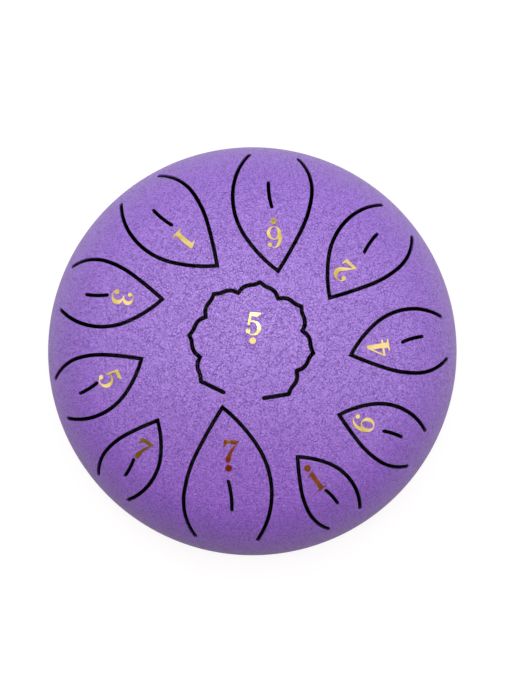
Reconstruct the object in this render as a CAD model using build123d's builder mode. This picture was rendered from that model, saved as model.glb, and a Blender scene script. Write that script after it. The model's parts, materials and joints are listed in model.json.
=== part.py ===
from build123d import *
import os
from math import acos, asin, atan2, cos, degrees, radians, sin, sqrt

# Steel tongue drum: two pressed steel bowls that meet at a seam, eleven spring tongues cut in the
# upper one (ten leaves round a lotus), a foil number on each tongue, a seam ring and four rubber
# feet. Millimetres, +Z up. The feet stand on z = 0, and the drum's axis is the Z axis.

os.makedirs("parts", exist_ok=True)

# Bowls
rim_radius = 77.0
sheet = 1.5
crown_radius = 170.0
shoulder_radius = 30.0
skirt_height = 5.0
base_radius = 320.0
base_shoulder_radius = 30.0
base_skirt_height = 5.0
base_clearance = 3.0

# Seam: the lower bowl's stepped lip stands inside the upper skirt, and a ring fills the groove
seam_ring_height = 0.8
seam_ring_recess = 0.25
seam_ring_round = 0.2
lip_height = 4.5
lip_clearance = 0.1

# Sound hole with a turned-up lip
sound_hole_radius = 22.0
sound_lip_bend = 1.5
sound_lip_height = 3.0

# Tongues: slots round each tongue, a slit that tunes it, and the line where it bends
slot_width = 1.4
lotus_slot_width = 1.5
slit_width = 1.3
root_margin = 4.0
root_gap = 0.05
lotus_radius = 22.5
lotus_notch_depth = 3.5
lotus_root_width = 14.8
lotus_root_distance = 18.6
cut_overrun = 2.0

# Foil numbers
number_height = 8.2
dot_radius = 1.2
dot_gap = 0.75
lotus_number_distance = 7.2
foil_thickness = 0.1
foil_glue = 0.06

# Rubber feet, pushed into holes of the lower bowl
foot_radius = 7.0
foot_taper = 0.8
foot_round = 0.8
foot_margin = 0.5
foot_seat = 0.05
stem_radius = 2.6
stem_clearance = 0.1
bulb_radius = 3.6
bulb_height = 3.2
bulb_tip_radius = 1.8

# Leaf tongues, by note: direction of the root in degrees, place of the tip between the lotus and the
# root ring, and reach of the root against the ring
leaf_azimuths = {
    "low_6": 90.7,
    "low_7": 269.6,
    "1": 132.5,
    "2": 48.5,
    "3": 169.5,
    "4": 10.1,
    "5": 202.4,
    "6": 335.8,
    "7": 232.8,
    "high_1": 305.9,
}
tip_shares = {
    "low_6": 0.099,
    "low_7": 0.031,
    "1": 0.157,
    "2": 0.198,
    "3": 0.262,
    "4": 0.263,
    "5": 0.341,
    "6": 0.353,
    "7": 0.412,
    "high_1": 0.418,
}
root_shares = {
    "low_6": 0.985,
    "low_7": 1.0,
    "1": 0.995,
    "2": 0.985,
    "3": 1.005,
    "4": 0.985,
    "5": 1.015,
    "6": 0.99,
    "7": 1.015,
    "high_1": 1.0,
}

# One leaf outline serves every tongue. Shares of the tongue's length: clockwise from its axis, and out
# from its tip. Each side runs from the tip by a flank to the widest point, the cheek, and to the root.
leaf_tip_share = 0.139
clockwise_side_shares = ((0.28, 0.36), (0.33, 0.667), (0.18, 1.0))
counter_side_shares = ((-0.167, 0.253), (-0.32, 0.667), (-0.22, 1.0))
# Where each slot ends on its clockwise and its other side, in shares of the way from cheek to root
slot_end_shares = {
    "low_6": (1.0, 0.94),
    "low_7": (0.9, 0.77),
    "1": (1.0, 0.9),
    "2": (1.0, 0.92),
    "3": (0.94, 0.83),
    "4": (0.99, 0.83),
    "5": (0.91, 0.82),
    "6": (0.93, 0.79),
    "7": (0.88, 0.76),
    "high_1": (0.9, 0.75),
}
slit_shares = ((0.017, 0.53), (-0.038, 0.735))
slit_bow_share = 0.008
# A petal's side runs from its tip to a knee and then swells to the notch. Shares of the side's length:
# along it and outwards to the knee, and the swell.
petal_knee_share = (0.4, 0.07)
petal_swell_share = 0.08
number_shares = {
    "low_6": (0.071, 0.276),
    "low_7": (0.034, 0.309),
    "1": (0.034, 0.35),
    "2": (0.033, 0.262),
    "3": (0.033, 0.374),
    "4": (0.08, 0.279),
    "5": (0.026, 0.379),
    "6": (0.073, 0.284),
    "7": (0.022, 0.369),
    "high_1": (0.068, 0.365),
}
# Numbers that are smaller than the rest
number_size_shares = {"7": 0.94, "high_1": 0.88}
# Turn of each number from its tongue's axis, anticlockwise in degrees
number_turns = {
    "low_5": 4,
    "low_6": 10,
    "low_7": 2,
    "1": 14,
    "2": 6,
    "3": 6,
    "4": 8,
    "5": 12,
    "6": 13,
    "7": 12,
    "high_1": 8,
}

# Figures, in shares of their height: from the middle, and up from the foot. An oval is its centre and
# its two half widths. Fills and cuts follow each other in the order given.
figure_shares = {
    "1": (
        ("fill", "line", ((-0.28, 0), (0.28, 0), (0.28, 0.05), (0.11, 0.09), (0.11, 1), (0, 1),
                          (-0.25, 0.89), (-0.25, 0.83), (-0.11, 0.86), (-0.11, 0.09), (-0.28, 0.05))),
    ),
    "2": (
        ("fill", "oval", (0, 0.7, 0.32, 0.3)),
        ("cut", "oval", (-0.06, 0.7, 0.18, 0.25)),
        ("cut", "line", ((-0.44, 0.3), (-0.44, 0.7), (-0.06, 0.7), (0.18, 0.53), (0.18, 0.3))),
        ("fill", "oval", (-0.2, 0.73, 0.1, 0.1)),
        ("fill", "line", ((0.315, 0.66), (0.11, 0.62), (-0.31, 0.08), (-0.31, 0), (-0.2, 0.12),
                          (0.26, 0.5))),
        ("fill", "line", ((-0.31, 0), (0.29, 0), (0.32, 0.29), (0.26, 0.29), (0.2, 0.15), (-0.2, 0.13),
                          (-0.31, 0.08))),
    ),
    "3": (
        ("fill", "oval", (-0.02, 0.76, 0.29, 0.24)),
        ("cut", "oval", (-0.08, 0.765, 0.17, 0.195)),
        ("fill", "oval", (-0.02, 0.28, 0.34, 0.28)),
        ("cut", "oval", (-0.08, 0.28, 0.2, 0.23)),
        ("cut", "line", ((-0.42, 0.22), (-0.42, 0.8), (-0.16, 0.8), (-0.1, 0.6), (-0.1, 0.45),
                         (-0.16, 0.22))),
        ("fill", "oval", (-0.2, 0.8, 0.095, 0.095)),
        ("fill", "oval", (-0.22, 0.2, 0.1, 0.1)),
        ("fill", "line", ((-0.12, 0.5), (-0.12, 0.555), (0.1, 0.57), (0.1, 0.5))),
    ),
    "4": (
        ("fill", "line", ((-0.36, 0.24), (-0.02, 0.24), (-0.02, 0.09), (-0.16, 0.05), (-0.16, 0),
                          (0.36, 0), (0.36, 0.05), (0.21, 0.09), (0.21, 0.24), (0.36, 0.24),
                          (0.36, 0.33), (0.21, 0.33), (0.21, 1), (0.08, 1), (-0.36, 0.31))),
        ("cut", "line", ((-0.27, 0.33), (0, 0.33), (0, 0.76))),
    ),
    "5": (
        ("fill", "oval", (-0.01, 0.32, 0.33, 0.32)),
        ("cut", "oval", (-0.06, 0.325, 0.21, 0.27)),
        ("cut", "line", ((-0.43, 0.18), (-0.43, 0.8), (-0.24, 0.8), (-0.24, 0.5), (-0.11, 0.5),
                         (-0.21, 0.18))),
        ("fill", "oval", (-0.23, 0.18, 0.1, 0.1)),
        ("fill", "line", ((-0.28, 0.45), (-0.2, 0.45), (-0.14, 0.85), (0.13, 0.84), (0.29, 1), (-0.21, 1))),
    ),
    "6": (
        ("fill", "oval", (0.02, 0.5, 0.36, 0.5)),
        ("cut", "oval", (0.08, 0.52, 0.26, 0.455)),
        ("cut", "line", ((0.09, 0), (0.44, 0), (0.44, 0.88), (0.09, 0.88))),
        ("fill", "oval", (0.21, 0.84, 0.1, 0.1)),
        ("fill", "oval", (0.01, 0.31, 0.32, 0.31)),
        ("cut", "oval", (0.01, 0.31, 0.16, 0.265)),
    ),
    "7": (
        ("fill", "line", ((-0.33, 0.66), (-0.27, 0.66), (-0.2, 0.81), (-0.06, 0.84), (0.2, 0.82),
                          (0.33, 0.98), (0.31, 1), (-0.24, 1), (-0.33, 0.97))),
        ("fill", "smooth", ((0.33, 0.98), (0.14, 0.6), (0.06, 0.3), (0.03, 0.06), (-0.06, 0), (-0.16, 0.06),
                            (-0.12, 0.32), (0.02, 0.62), (0.2, 0.84))),
    ),
}
figure_middle_share = 0.5

# Levels and radii that follow from the driving dimensions
def dome_rise(dome, shoulder):
    """Height of a dome above the level where its shoulder turns into the skirt."""
    return dome - sqrt((dome - shoulder) ** 2 - (rim_radius - shoulder) ** 2)


def dome_join(dome, shoulder):
    """Angle above the level at which the shoulder runs into the dome, in degrees."""
    return degrees(acos((rim_radius - shoulder) / (dome - shoulder)))


quarter_turn = 90
crown_join = dome_join(crown_radius, shoulder_radius)
base_join = dome_join(base_radius, base_shoulder_radius)
base_level = base_clearance + dome_rise(base_radius, base_shoulder_radius)
seam_level = base_level + base_skirt_height
upper_edge = seam_level + seam_ring_height
crown_level = upper_edge + skirt_height
top_level = crown_level + dome_rise(crown_radius, shoulder_radius)
root_ring = rim_radius - root_margin
lip_radius = rim_radius - sheet - lip_clearance
base_edge = base_radius * sin(radians(quarter_turn - base_join))
foot_ring = base_edge - foot_radius - foot_margin
foot_azimuths = {
    "front_right": 315,
    "back_right": 45,
    "back_left": 135,
    "front_left": 225,
}


def radial(azimuth, distance, level=0):
    """Point at a distance from the drum's axis, in a direction in degrees."""
    return Vector(distance * cos(radians(azimuth)), distance * sin(radians(azimuth)), level)


def upper_layer(outer_depth, inner_depth):
    """Half section of the upper bowl between two depths below its outer face."""
    with BuildSketch(Plane.XZ) as layer:
        with BuildLine():
            faces = []
            for depth in (outer_depth, inner_depth):
                wall = Line((rim_radius - depth, upper_edge), (rim_radius - depth, crown_level))
                CenterArc((rim_radius - shoulder_radius, crown_level), shoulder_radius - depth, 0,
                          crown_join)
                dome = CenterArc((0, top_level - crown_radius), crown_radius - depth, crown_join,
                                 quarter_turn - crown_join)
                faces.append((wall @ 0, dome @ 1))
            for outer_end, inner_end in zip(*faces):
                Line(outer_end, inner_end)
        make_face()
    return layer.sketch


def leaf_length(note):
    """Length of a leaf tongue along its axis, from tip to root."""
    return root_ring * root_shares[note] - leaf_tip(note)


def leaf_tip(note):
    """Distance of a leaf's tip from the drum's axis, along the leaf's axis."""
    return lotus_radius + tip_shares[note] * (root_ring - lotus_radius)


def leaf_plane(note):
    """Level plane at a leaf's tip: x runs clockwise round the drum, y outwards."""
    azimuth = leaf_azimuths[note]
    clockwise = radial(azimuth - quarter_turn, 1)
    return Plane(origin=radial(azimuth, leaf_tip(note)), x_dir=clockwise, z_dir=(0, 0, 1))


def leaf_point(note, share):
    """Point of a leaf, in its own plane, from a share of its length."""
    return leaf_length(note) * Vector(*share)


def slot_ends(note):
    """Points where a leaf's slot ends, clockwise first. The tongue bends on the line between them."""
    ends = []
    sides = (clockwise_side_shares, counter_side_shares)
    for side_shares, end_share in zip(sides, slot_end_shares[note]):
        flank, cheek, root = (leaf_point(note, share) for share in side_shares)
        with BuildLine() as side:
            TangentArc(cheek, root, tangent=(0, 1))
        ends.append(side.line @ end_share)
    return ends


def leaf_area(note, spread, root_overrun):
    """Plan of a leaf, spread to either side of its slot's middle and cut straight at the root."""
    length = leaf_length(note)
    tip = leaf_point(note, (leaf_tip_share, 0))
    clockwise_end, counter_end = slot_ends(note)
    across = clockwise_end - counter_end
    outwards = across.rotate(Axis.Z, quarter_turn).normalized()
    middle = (clockwise_end + counter_end) / 2
    with BuildSketch(leaf_plane(note)) as area:
        with BuildLine():
            corners = []
            for side_shares in (clockwise_side_shares, counter_side_shares):
                flank, cheek, root = (leaf_point(note, share) for share in side_shares)
                lower = TangentArc(cheek, flank, tangent=(0, -1))
                TangentArc(flank, tip, tangent=lower % 1)
                upper = TangentArc(cheek, root, tangent=(0, 1))
                stub = Line(root, root + cut_overrun * (upper % 1))
                corners.append(stub @ 1)
            Line(*corners)
        make_face()
        offset(amount=spread, kind=Kind.INTERSECTION)
        with Locations(middle + root_overrun * outwards):
            Rectangle(2 * length, 2 * length, rotation=degrees(atan2(across.Y, across.X)),
                      align=(Align.CENTER, Align.MAX), mode=Mode.INTERSECT)
    return area.sketch


def leaf_opening(note):
    """Opening in the upper bowl for a leaf and the slot round it, with round slot ends."""
    ends = slot_ends(note)
    with BuildSketch(leaf_plane(note)) as rounds:
        with Locations(*ends):
            Circle(slot_width / 2)
    with BuildSketch() as opening:
        add(leaf_area(note, slot_width / 2, root_gap))
        add(rounds.sketch)
    return opening.sketch


def leaf_blade(note):
    """Plan of a leaf tongue inside its slot, with the slit that tunes it."""
    inner, outer = (leaf_point(note, share) for share in slit_shares)
    with BuildSketch(leaf_plane(note)) as slit:
        SlotArc(SagittaArc(inner, outer, leaf_length(note) * slit_bow_share), slit_width)
    with BuildSketch() as blade:
        add(leaf_area(note, -slot_width / 2, 0))
        add(slit.sketch, mode=Mode.SUBTRACT)
    return blade.sketch


petal_count = 8
petal_pitch = 360 / petal_count
lotus_root_azimuth = 270


def petal_side(tip, notch, turn):
    """One side of a petal, from its tip to the notch; turn is 1 if it runs anticlockwise."""
    along = notch - tip
    outwards = turn * along.rotate(Axis.Z, -quarter_turn)
    knee = tip + petal_knee_share[0] * along + petal_knee_share[1] * outwards
    swell = SagittaArc(notch, knee, turn * petal_swell_share * along.length)
    TangentArc(knee, tip, tangent=swell % 1)


def lotus_area(spread, root_overrun):
    """Plan of the lotus: a ring of pointed petals, one of them left out for the root."""
    first_tip = lotus_root_azimuth + petal_pitch
    root_level = -lotus_root_distance - lotus_slot_width / 2
    with BuildSketch() as area:
        with BuildLine():
            for petal in range(petal_count - 2):
                tip_azimuth = first_tip + petal * petal_pitch
                tips = [radial(tip_azimuth + turn, lotus_radius) for turn in (0, petal_pitch)]
                notch = radial(tip_azimuth + petal_pitch / 2, lotus_radius - lotus_notch_depth)
                petal_side(tips[0], notch, 1)
                petal_side(tips[1], notch, -1)
            corners = []
            for side, turn in ((1, petal_pitch), (-1, -petal_pitch)):
                end = Vector(side * lotus_root_width / 2, -lotus_root_distance)
                Line(radial(lotus_root_azimuth + turn, lotus_radius), end)
                stub = Line(end, end - Vector(0, cut_overrun))
                corners.append(stub @ 1)
            Line(*corners)
        make_face()
        offset(amount=spread, kind=Kind.INTERSECTION if spread > 0 else Kind.ARC)
        with Locations((0, root_level - root_overrun)):
            Rectangle(4 * lotus_radius, 4 * lotus_radius, align=(Align.CENTER, Align.MIN),
                      mode=Mode.INTERSECT)
    return area.sketch


def figure_point(share, height):
    """Point of a figure from shares of its height, measured from its middle."""
    across, up = share
    return height * Vector(across, up - figure_middle_share)


def number_area(place, azimuth, note):
    """Plan of a foil number whose foot points in a direction, with its octave dot."""
    octave, figure = note.split("_") if "_" in note else ("", note)
    height = number_height * number_size_shares.get(note, 1)
    dot_side = {"low": -1, "high": 1}
    with BuildSketch(Plane(origin=place, x_dir=radial(azimuth + quarter_turn, 1), z_dir=(0, 0, 1))) as area:
        for step, form, shares in figure_shares[figure]:
            mode = Mode.ADD if step == "fill" else Mode.SUBTRACT
            if form == "oval":
                with Locations(figure_point(shares[:2], height)):
                    Ellipse(shares[2] * height, shares[3] * height, mode=mode)
            else:
                corners = [figure_point(share, height) for share in shares]
                with BuildLine():
                    if form == "smooth":
                        Spline(*corners, periodic=True)
                    else:
                        Polyline(*corners, close=True)
                make_face(mode=mode)
        if octave:
            with Locations((0, dot_side[octave] * (height / 2 + dot_gap + dot_radius))):
                Circle(dot_radius)
    return area.sketch


# Upper bowl, with the openings of all its tongues
with BuildPart() as upper_shell:
    revolve(upper_layer(0, sheet), axis=Axis.Z)
    for note in leaf_azimuths:
        extrude(leaf_opening(note), amount=top_level + cut_overrun, mode=Mode.SUBTRACT)
    extrude(lotus_area(lotus_slot_width / 2, root_gap), amount=top_level + cut_overrun, mode=Mode.SUBTRACT)
upper_shell.part.label = "upper_shell"
export_step(upper_shell.part, "parts/upper_shell.step")

# Leaf tongues
for note in leaf_azimuths:
    with BuildPart() as tongue:
        revolve(upper_layer(0, sheet), axis=Axis.Z)
        extrude(leaf_blade(note), amount=top_level + cut_overrun, mode=Mode.INTERSECT)
    tongue.part.label = f"tongue_{note}"
    export_step(tongue.part, f"parts/tongue_{note}.step")

# Lotus tongue in the middle, the lowest note
with BuildPart() as lotus:
    revolve(upper_layer(0, sheet), axis=Axis.Z)
    extrude(lotus_area(-lotus_slot_width / 2, 0), amount=top_level + cut_overrun, mode=Mode.INTERSECT)
lotus.part.label = "tongue_low_5"
export_step(lotus.part, "parts/tongue_low_5.step")

# Foil numbers, glued on the tongues
number_places = {
    note: (leaf_plane(note).from_local_coords(leaf_point(note, number_shares[note])), leaf_azimuths[note])
    for note in leaf_azimuths
}
number_places["low_5"] = (Vector(0, lotus_number_distance), lotus_root_azimuth)
for note, (place, azimuth) in number_places.items():
    number_azimuth = azimuth + number_turns[note]
    with BuildPart() as number:
        revolve(upper_layer(-foil_glue - foil_thickness, -foil_glue), axis=Axis.Z)
        area = number_area(place, number_azimuth, note)
        extrude(area, amount=top_level + cut_overrun, mode=Mode.INTERSECT)
    number.part.label = f"number_{note}"
    export_step(number.part, f"parts/number_{note}.step")

# Lower bowl: base dome, shoulder, stepped lip at the seam and turned lip round the sound hole
base_centre = base_clearance + base_radius
bend_radius = sound_lip_bend + sheet
bend_distance = sound_hole_radius + bend_radius
bend_turn = degrees(asin(bend_distance / (base_radius - bend_radius)))
bend_level = base_centre - (base_radius - bend_radius) * cos(radians(bend_turn))
with BuildPart() as lower_shell:
    with BuildSketch(Plane.XZ):
        with BuildLine():
            ends = []
            for depth in (0, sheet):
                hole_wall = Line((sound_hole_radius + depth, bend_level + sound_lip_height),
                                 (sound_hole_radius + depth, bend_level))
                CenterArc((bend_distance, bend_level), bend_radius - depth, 2 * quarter_turn,
                          quarter_turn + bend_turn)
                CenterArc((0, base_centre), base_radius - depth, bend_turn - quarter_turn,
                          quarter_turn - bend_turn - base_join)
                CenterArc((rim_radius - base_shoulder_radius, base_level), base_shoulder_radius - depth,
                          -base_join, base_join)
                step_level = seam_level - depth
                seam_wall = Polyline((rim_radius - depth, base_level), (rim_radius - depth, step_level),
                                     (lip_radius - depth, step_level),
                                     (lip_radius - depth, upper_edge + lip_height))
                ends.append((hole_wall @ 0, seam_wall @ 1))
            for outer_end, inner_end in zip(*ends):
                Line(outer_end, inner_end)
        make_face()
    revolve(axis=Axis.Z)
    with BuildSketch():
        for azimuth in foot_azimuths.values():
            with Locations(radial(azimuth, foot_ring)):
                Circle(stem_radius + stem_clearance)
    extrude(amount=base_level, mode=Mode.SUBTRACT)
lower_shell.part.label = "lower_shell"
export_step(lower_shell.part, "parts/lower_shell.step")

# Ring in the groove of the seam
with BuildPart() as seam_ring:
    with BuildSketch(Plane.XZ):
        with BuildLine():
            ring_inner = lip_radius + lip_clearance
            ring_outer = rim_radius - seam_ring_recess
            Polyline((ring_inner, seam_level), (ring_outer, seam_level), (ring_outer, upper_edge),
                     (ring_inner, upper_edge), close=True)
        make_face()
    revolve(axis=Axis.Z)
    ring_edges = seam_ring.edges().filter_by(GeomType.CIRCLE)
    fillet(ring_edges.group_by(SortBy.RADIUS)[-1], radius=seam_ring_round)
seam_ring.part.label = "seam_ring"
export_step(seam_ring.part, "parts/seam_ring.step")

# Rubber feet: a pad slanted to the bowl, a stem through its hole and a bulb that holds it inside
seat_level = base_centre - sqrt(base_radius**2 - foot_ring**2)
wall_top = base_centre - sqrt((base_radius - sheet) ** 2 - foot_ring**2)
base_slope = foot_ring / sqrt(base_radius**2 - foot_ring**2)
pad_top = seat_level + foot_radius * base_slope + foot_margin
bulb_level = wall_top + bulb_radius * base_slope + foot_seat
for corner, azimuth in foot_azimuths.items():
    middle = radial(azimuth, foot_ring)
    upright = Plane(origin=middle, x_dir=(1, 0, 0), z_dir=(0, -1, 0))
    seat_middle = radial(azimuth, foot_ring, seat_level - foot_seat)
    seat = Plane(origin=seat_middle, z_dir=radial(azimuth, -base_slope, 1))
    foot_axis = Axis(origin=middle, direction=(0, 0, 1))
    with BuildPart() as foot:
        with BuildSketch(upright):
            with BuildLine():
                Polyline((0, 0), (foot_radius, 0), (foot_radius - foot_taper, pad_top), (0, pad_top),
                         close=True)
            make_face()
        revolve(axis=foot_axis)
        fillet(foot.edges().group_by(Axis.Z)[0], radius=foot_round)
        split(bisect_by=seat, keep=Keep.BOTTOM)
        with BuildSketch(upright):
            with BuildLine():
                Polyline((0, seat_level / 2), (stem_radius, seat_level / 2), (stem_radius, bulb_level),
                         (bulb_radius, bulb_level), (bulb_tip_radius, bulb_level + bulb_height),
                         (0, bulb_level + bulb_height), close=True)
            make_face()
        revolve(axis=foot_axis)
    foot.part.label = f"foot_{corner}"
    export_step(foot.part, f"parts/foot_{corner}.step")
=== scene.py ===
# %% [markdown]
# # Steel tongue drum
# This lesson dresses a imported CAD part. The drum is two pressed steel bowls with a seam round the
# middle. Tongues cut in the upper bowl spring when they are struck, and each wears a foil number.
# Every piece made here is in metres, in the same frame. The bowls, the seam and the feet ride on the
# part's shell body.

# %% Load the frame
import json
import math

import bmesh
import bpy
import numpy as np
from mathutils import Matrix, Vector
from mathutils.geometry import delaunay_2d_cdt
from mathutils.kdtree import KDTree

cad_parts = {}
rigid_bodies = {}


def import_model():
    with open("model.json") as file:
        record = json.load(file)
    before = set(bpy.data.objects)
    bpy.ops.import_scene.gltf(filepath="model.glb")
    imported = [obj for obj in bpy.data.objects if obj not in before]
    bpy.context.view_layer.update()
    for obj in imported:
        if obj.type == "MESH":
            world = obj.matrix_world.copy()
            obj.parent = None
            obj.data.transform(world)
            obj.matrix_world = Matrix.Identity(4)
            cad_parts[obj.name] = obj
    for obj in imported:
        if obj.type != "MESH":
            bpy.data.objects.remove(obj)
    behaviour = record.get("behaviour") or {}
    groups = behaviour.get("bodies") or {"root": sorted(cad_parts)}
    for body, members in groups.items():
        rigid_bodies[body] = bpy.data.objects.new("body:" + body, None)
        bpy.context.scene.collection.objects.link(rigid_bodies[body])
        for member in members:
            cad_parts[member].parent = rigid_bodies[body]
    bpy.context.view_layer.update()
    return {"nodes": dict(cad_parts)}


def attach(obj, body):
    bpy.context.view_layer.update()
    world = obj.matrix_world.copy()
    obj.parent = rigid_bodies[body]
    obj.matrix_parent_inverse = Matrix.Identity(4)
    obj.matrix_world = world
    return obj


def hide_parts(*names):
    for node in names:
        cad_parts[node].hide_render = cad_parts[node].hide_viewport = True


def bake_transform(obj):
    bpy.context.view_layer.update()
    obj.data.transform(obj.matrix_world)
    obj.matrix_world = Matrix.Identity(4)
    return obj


for thing in list(bpy.data.objects):
    bpy.data.objects.remove(thing)
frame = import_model()

# %% [markdown]
# ## The drum's measures
# The part's own sizes are repeated here, because the outlines of the slots have to follow the CAD.
# They are written in millimetres and turned into metres once.

# %% Measures
MM = 0.001
rim_radius = 77 * MM
sheet = 1.5 * MM
crown_radius = 170 * MM
shoulder_radius = 30 * MM
skirt_height = 5 * MM
base_radius = 320 * MM
base_shoulder_radius = 30 * MM
base_clearance = 3 * MM
seam_height = 0.8 * MM


def dome_rise(dome, shoulder):
    """Height of a dome above the level where its shoulder turns into the skirt."""
    return dome - math.sqrt((dome - shoulder) ** 2 - (rim_radius - shoulder) ** 2)


def in_mm(values, digits=1):
    """Lengths in metres as rounded millimetres, for printing."""
    return [round(value / MM, digits) for value in values]


base_level = base_clearance + dome_rise(base_radius, base_shoulder_radius)
seam_level = base_level + skirt_height
upper_edge = seam_level + seam_height
crown_level = upper_edge + skirt_height
top_level = crown_level + dome_rise(crown_radius, shoulder_radius)
print("levels of seam, crown and top in mm:", in_mm((seam_level, crown_level, top_level), 2))

# %% [markdown]
# ## Finishes
# A finish is a node tree. These helpers keep each tree short: they add a node, set or link its sockets,
# and make the few kinds of node that come up again and again. Patterns read Object coordinates, so they
# run on from one piece to the next, as paint does that was sprayed on the whole drum.


# %% Helpers for node trees
def set_sockets(tree, node, values):
    """Link or set a node's sockets, given by name or number."""
    for key, value in values.items():
        if isinstance(value, bpy.types.NodeSocket):
            tree.links.new(value, node.inputs[key])
        else:
            node.inputs[key].default_value = value


def add_node(tree, kind, values=None, **settings):
    """Add a node, set its properties, then its sockets."""
    node = tree.nodes.new(kind)
    for key, value in settings.items():
        setattr(node, key, value)
    set_sockets(tree, node, values or {})
    return node


def math_node(tree, operation, *values):
    """A Math node's output."""
    return add_node(tree, "ShaderNodeMath", dict(enumerate(values)), operation=operation).outputs[0]


def map_range(tree, value, source, target):
    """A value moved from one range to another, and held at its ends."""
    return add_node(tree, "ShaderNodeMapRange", dict(enumerate((value, *source, *target)))).outputs[0]


def split(tree, vector):
    """The X, Y and Z of a vector."""
    return add_node(tree, "ShaderNodeSeparateXYZ", {0: vector}).outputs


# %% Helpers for finishes
def new_finish(name):
    """A material with only a Principled shader, and its tree."""
    finish = bpy.data.materials.new(name)
    finish.use_nodes = True
    tree = finish.node_tree
    return finish, tree, tree.nodes["Principled BSDF"]


def object_place(tree):
    """Where a point lies in its object's own coordinates."""
    return add_node(tree, "ShaderNodeTexCoord").outputs["Object"]


def noise_on(tree, place, scale, detail):
    """The outputs of a noise with a number of repeats per metre."""
    return add_node(tree, "ShaderNodeTexNoise", {"Vector": place, "Scale": scale, "Detail": detail}).outputs


def ramp(tree, factor, stops):
    """A colour ramp over stops of (place, colour)."""
    node = add_node(tree, "ShaderNodeValToRGB", {"Fac": factor})
    points = node.color_ramp.elements
    while len(points) < len(stops):
        points.new(0.5)
    for point, (place, colour) in zip(points, stops):
        point.position = place
        point.color = (*colour, 1)
    return node.outputs["Color"]


def blend_colour(tree, factor, first, second):
    """A mix of two colours."""
    return add_node(tree, "ShaderNodeMix", {0: factor, 6: first, 7: second}, data_type="RGBA").outputs[2]


def bumped(tree, height, strength, distance):
    """A normal that follows a pattern of heights."""
    values = {"Height": height, "Strength": strength, "Distance": distance}
    return add_node(tree, "ShaderNodeBump", values).outputs["Normal"]


# %% [markdown]
# The lacquer is a satin purple that was sprayed on from outside. Close up it looks like leather: a fine
# grain, short creases where it shrank as it dried, and thin wrinkles. Both are in the bump, and both are
# painted into the colour too: the creases darker, as painted shade, and the wrinkles paler, as painted
# highlights. A Voronoi pattern measured to its cell edges gives the creases, and the places where a noise
# is near its middle value give the wrinkles, because they form winding lines. A wider noise breaks both
# into short pieces. The spray fades out down the walls of the slots, and there and on the inside of the
# drum the colour is bare steel, darkened to near-black as painted shade so that the slots stay black.
# The bowls and tongues therefore carry an attribute called depth: 0 on the outer face and 1 on the inner.

# %% Purple lacquer
# how often each pattern repeats in a metre
lacquer_scales = {
    "drift": 260.0, "crease": 950.0, "patch": 600.0, "fold": 780.0, "grain": 1700.0, "cloud": 40.0,
}
drift_share = 0.0024
deep_purple = (0.165, 0.056, 0.43)
mid_purple = (0.177, 0.061, 0.45)
pale_grain = (0.33, 0.145, 0.67, 1)
# painted shade: the darker colour mixed into the creases
painted_crease_shade = (0.09, 0.025, 0.28, 1)
crease_shade_share = 0.6
# painted highlights: the paler colour mixed onto the wrinkles
painted_wrinkle_glint = (0.48, 0.26, 0.85, 1)
wrinkle_glint_share = 0.4
# bare steel, darkened to near-black as painted shade so that the slots and the inside stay black
bare_steel_and_shade = (0.006, 0.005, 0.008, 1)
lacquer_relief = 0.15 * MM


def crackle(tree, place):
    """Patterns of the creases and wrinkles, for the bump, painted shade and painted highlights."""
    drift = noise_on(tree, place, lacquer_scales["drift"], 4.0)["Color"]
    wander = add_node(tree, "ShaderNodeMix", {"Factor": drift_share, 4: place, 5: drift},
                      data_type="VECTOR").outputs[1]
    net = add_node(tree, "ShaderNodeTexVoronoi", {"Vector": wander, "Scale": lacquer_scales["crease"]},
                   feature="DISTANCE_TO_EDGE").outputs["Distance"]
    patch = noise_on(tree, place, lacquer_scales["patch"], 2.0)["Fac"]
    crease = math_node(tree, "MULTIPLY", map_range(tree, net, (0.0, 0.1), (1.0, 0.0)),
                       map_range(tree, patch, (0.56, 0.44), (0.0, 1.0)))
    fold = noise_on(tree, wander, lacquer_scales["fold"], 1.0)["Fac"]
    winding = math_node(tree, "ABSOLUTE", math_node(tree, "SUBTRACT", fold, 0.5))
    wrinkle = math_node(tree, "MULTIPLY", map_range(tree, winding, (0.0, 0.028), (1.0, 0.0)),
                        map_range(tree, patch, (0.45, 0.58), (0.1, 1.0)))
    return crease, wrinkle


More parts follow.
